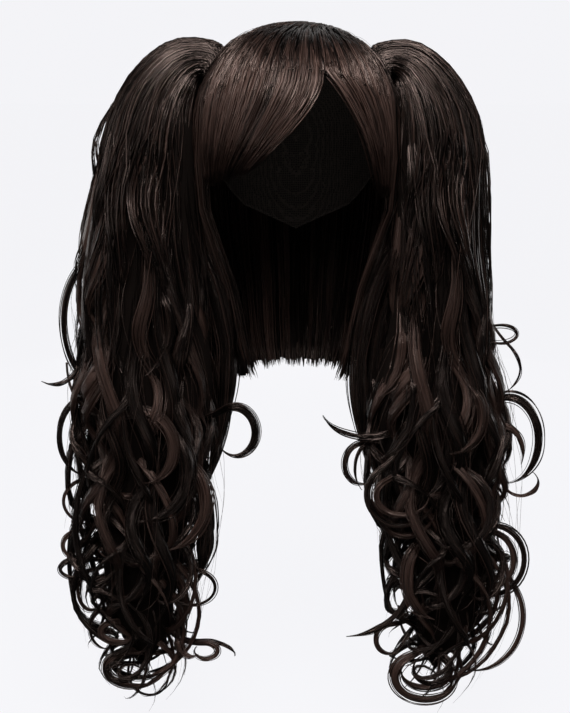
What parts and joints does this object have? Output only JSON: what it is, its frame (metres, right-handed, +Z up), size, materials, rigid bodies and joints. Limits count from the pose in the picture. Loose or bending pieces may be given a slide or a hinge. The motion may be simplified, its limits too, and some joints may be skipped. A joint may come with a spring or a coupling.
{
  "type": "curly pigtail wig",
  "caption": "Dark brown wig: net cap, straight crown and side-swept fringe, hair hugging cheeks and neck, and long curly tails clipped high on both sides of the head.",
  "frame": {"origin": "middle of the head opening at brow height, where a head sits in the cap", "axes": "+Z up along the hanging tails, the wearer faces -Y, +X is the viewer's right"},
  "size_m": [0.4078, 0.2104, 0.5732],
  "materials": {
    "hair": "satin dark brown synthetic fibre",
    "cap_net": "matt elastic net",
    "clip_plastic": "satin moulded plastic"
  },
  "bodies": {
    "root": {"cap": "cap_net", "crown_hair": "hair", "fringe_sweep": "hair", "fringe_side": "hair", "side_hair_left": "hair", "side_hair_right": "hair", "back_hair": "hair", "tail_left": "hair", "tail_right": "hair", "clip_left": "clip_plastic", "clip_right": "clip_plastic"}
  },
  "joints": []
}
